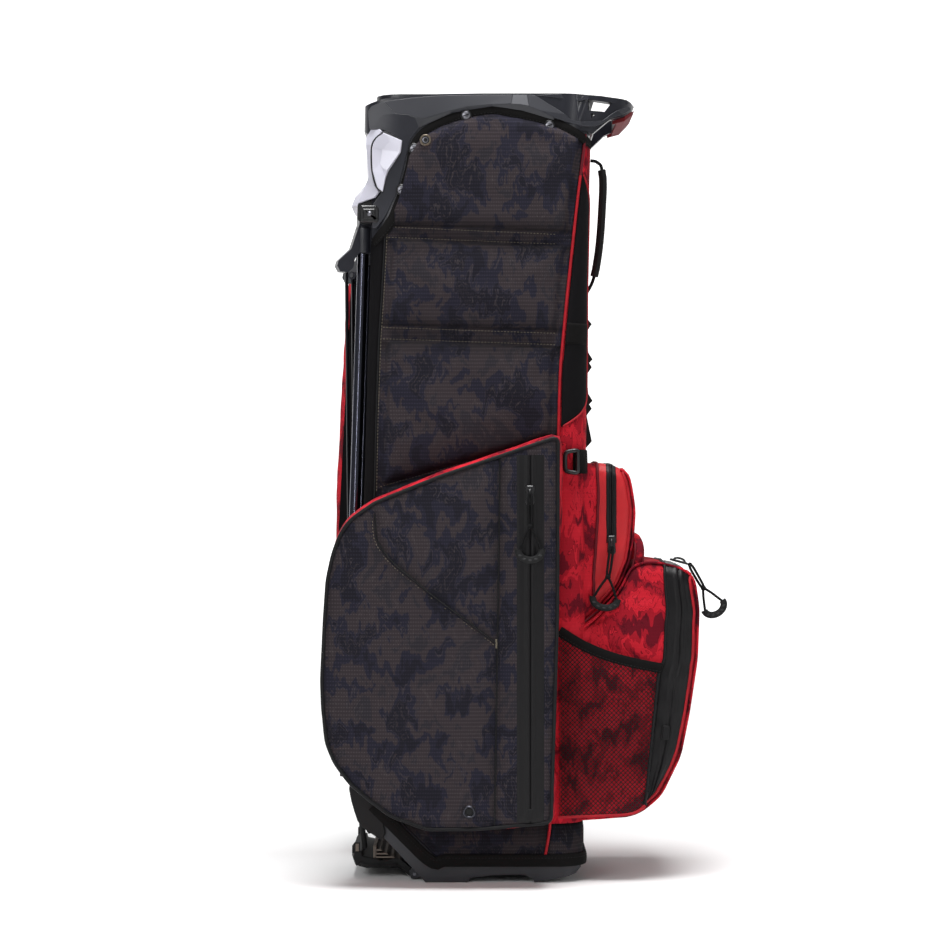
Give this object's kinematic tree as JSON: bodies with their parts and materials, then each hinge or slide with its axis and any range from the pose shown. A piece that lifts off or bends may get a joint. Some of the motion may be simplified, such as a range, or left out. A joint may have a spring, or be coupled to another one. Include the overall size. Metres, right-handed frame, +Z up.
{
  "type": "golf stand bag",
  "caption": "Golf bag with a moulded collar and front handle, sewn fabric body, zipped side, apparel, valuables and ball pockets, and two legs that kick out when its toe rocker is pressed.",
  "frame": {"origin": "centre of the flat underside of the moulded base, which the bag rests on", "axes": "+Z up along the bag, +X towards the ball pocket, -X towards the legs, -Y towards the left side pocket"},
  "size_m": [0.449, 0.3308, 0.8865],
  "materials": {
    "base_plastic": "satin",
    "foam": "matte",
    "plain_fabric": "matte",
    "dark_camo": "matte",
    "red_camo": "matte",
    "mesh": "matte",
    "collar_plastic": "satin",
    "red_rubber": "matte",
    "black_plastic": "satin",
    "white_plastic": "gloss",
    "stay": "satin",
    "steel": "satin",
    "leg_tube": "gloss",
    "rubber": "matte",
    "tread": "matte",
    "coated_tape": "satin",
    "cord": "matte"
  },
  "bodies": {
    "bag": {"base_cup": "base_plastic", "floor_pad": "foam", "spine_panel": "plain_fabric", "leg_side_panel": "plain_fabric", "left_panel": "dark_camo", "right_panel": "dark_camo", "top_collar": "collar_plastic", "collar_grip": "red_rubber", "divider_rim": "black_plastic", "divider_bars": "black_plastic", "long_divider": "plain_fabric", "cross_divider_left": "plain_fabric", "cross_divider_right": "plain_fabric", "spine_stay_left": "stay", "leg_side_stay_left": "stay", "spine_stay_right": "stay", "leg_side_stay_right": "stay", "leg_hub": "black_plastic", "front_cover": "white_plastic", "left_cover": "white_plastic", "right_cover": "white_plastic", "leg_pin_left": "steel", "leg_pin_right": "steel", "trigger_foot_pin": "steel", "side_pocket": "dark_camo", "side_zip": "coated_tape", "apparel_pocket": "red_camo", "apparel_zip": "coated_tape", "valuables_pocket": "red_camo", "ball_pocket": "red_camo", "valuables_zip": "coated_tape", "ball_zip": "coated_tape", "mesh_pocket": "mesh", "strap_guide": "rubber", "strap_ring_tab": "plain_fabric", "drain_eyelet": "black_plastic"},
    "leg_left": {"leg_sleeve_left": "black_plastic", "leg_tube_left": "leg_tube", "leg_foot_left": "rubber"},
    "leg_right": {"leg_sleeve_right": "black_plastic", "leg_tube_right": "leg_tube", "leg_foot_right": "rubber"},
    "rod_left": {"push_rod_left": "steel"},
    "rod_right": {"push_rod_right": "steel"},
    "trigger": {"trigger_foot": "rubber", "trigger_foot_tread": "tread"},
    "strap_ring": {"strap_ring": "black_plastic"},
    "grab_handle": {"grab_cord": "cord", "grab_sleeve": "rubber"},
    "side_slider": {"side_slider": "black_plastic"},
    "side_pull": {"side_pull": "rubber"},
    "apparel_slider": {"apparel_slider": "black_plastic"},
    "apparel_pull": {"apparel_pull": "rubber"},
    "valuables_slider": {"valuables_slider": "black_plastic"},
    "valuables_pull": {"valuables_pull": "rubber"},
    "ball_slider": {"ball_slider": "black_plastic"},
    "ball_pull": {"ball_pull": "rubber"}
  },
  "joints": [
    {"name": "leg_left_swing", "type": "hinge", "parent": "bag", "child": "leg_left", "pos_m": [-0.1293, -0.08, 0.754], "axis": [-0.2588, 0.9659, 0], "range_deg": [0, 32]},
    {"name": "leg_right_swing", "type": "hinge", "parent": "bag", "child": "leg_right", "pos_m": [-0.1293, 0.08, 0.754], "axis": [0.2588, 0.9659, 0], "range_deg": [0, 32]},
    {"name": "rod_left_turn", "type": "hinge", "parent": "leg_left", "child": "rod_left", "pos_m": [-0.14957, -0.07197, 0.696], "axis": [-0.2588, 0.9659, 0], "range_deg": [-34.5, 0]},
    {"name": "rod_right_turn", "type": "hinge", "parent": "leg_right", "child": "rod_right", "pos_m": [-0.14957, 0.07197, 0.696], "axis": [0.2588, 0.9659, 0], "range_deg": [-34.5, 0]},
    {"name": "trigger_rock", "type": "hinge", "parent": "bag", "child": "trigger", "pos_m": [-0.072, 0, 0.0065], "axis": [0, 1, 0], "range_deg": [0, 16]},
    {"name": "side_zip_slide", "type": "slide", "parent": "bag", "child": "side_slider", "axis": [0, 0, -1], "range_m": [0, 0.325]},
    {"name": "side_pull_swing", "type": "hinge", "parent": "side_slider", "child": "side_pull", "pos_m": [0.057, -0.17, 0.437], "axis": [1, 0, 0], "range_deg": [-150, 0]},
    {"name": "apparel_zip_slide", "type": "slide", "parent": "bag", "child": "apparel_slider", "axis": [0, 0, -1], "range_m": [0, 0.525]},
    {"name": "apparel_pull_swing", "type": "hinge", "parent": "apparel_slider", "child": "apparel_pull", "pos_m": [0.057, 0.158, 0.662], "axis": [1, 0, 0], "range_deg": [0, 150]},
    {"name": "valuables_zip_slide", "type": "slide", "parent": "bag", "child": "valuables_slider", "axis": [0, 0, 1], "range_m": [0, 0.072]},
    {"name": "valuables_pull_swing", "type": "hinge", "parent": "valuables_slider", "child": "valuables_pull", "pos_m": [0.151, -0.0904, 0.376], "axis": [1, 0, 0], "range_deg": [-150, 0]},
    {"name": "ball_zip_slide", "type": "slide", "parent": "bag", "child": "ball_slider", "axis": [0, 1, 0], "range_m": [0, 0.122]},
    {"name": "ball_pull_swing", "type": "hinge", "parent": "ball_slider", "child": "ball_pull", "pos_m": [0.2414, -0.061, 0.3562], "axis": [0, 1, 0], "range_deg": [-95, 0]},
    {"name": "strap_ring_swing", "type": "hinge", "parent": "bag", "child": "strap_ring", "pos_m": [0.113, -0.1103, 0.473], "axis": [0, 0, 1], "range_deg": [0, 95]},
    {"name": "grab_handle_flop", "type": "hinge", "parent": "bag", "child": "grab_handle", "pos_m": [0.1246, 0, 0.667], "axis": [0.0407, 0, 0.9992], "range_deg": [-70, 70]}
  ],
  "couplings": [
    {"joint": "leg_right_swing", "follows": "leg_left_swing", "ratio": 1},
    {"joint": "rod_left_turn", "follows": "leg_left_swing", "ratio": -1.07},
    {"joint": "rod_right_turn", "follows": "leg_left_swing", "ratio": -1.07},
    {"joint": "trigger_rock", "follows": "leg_left_swing", "ratio": 0.4844}
  ]
}
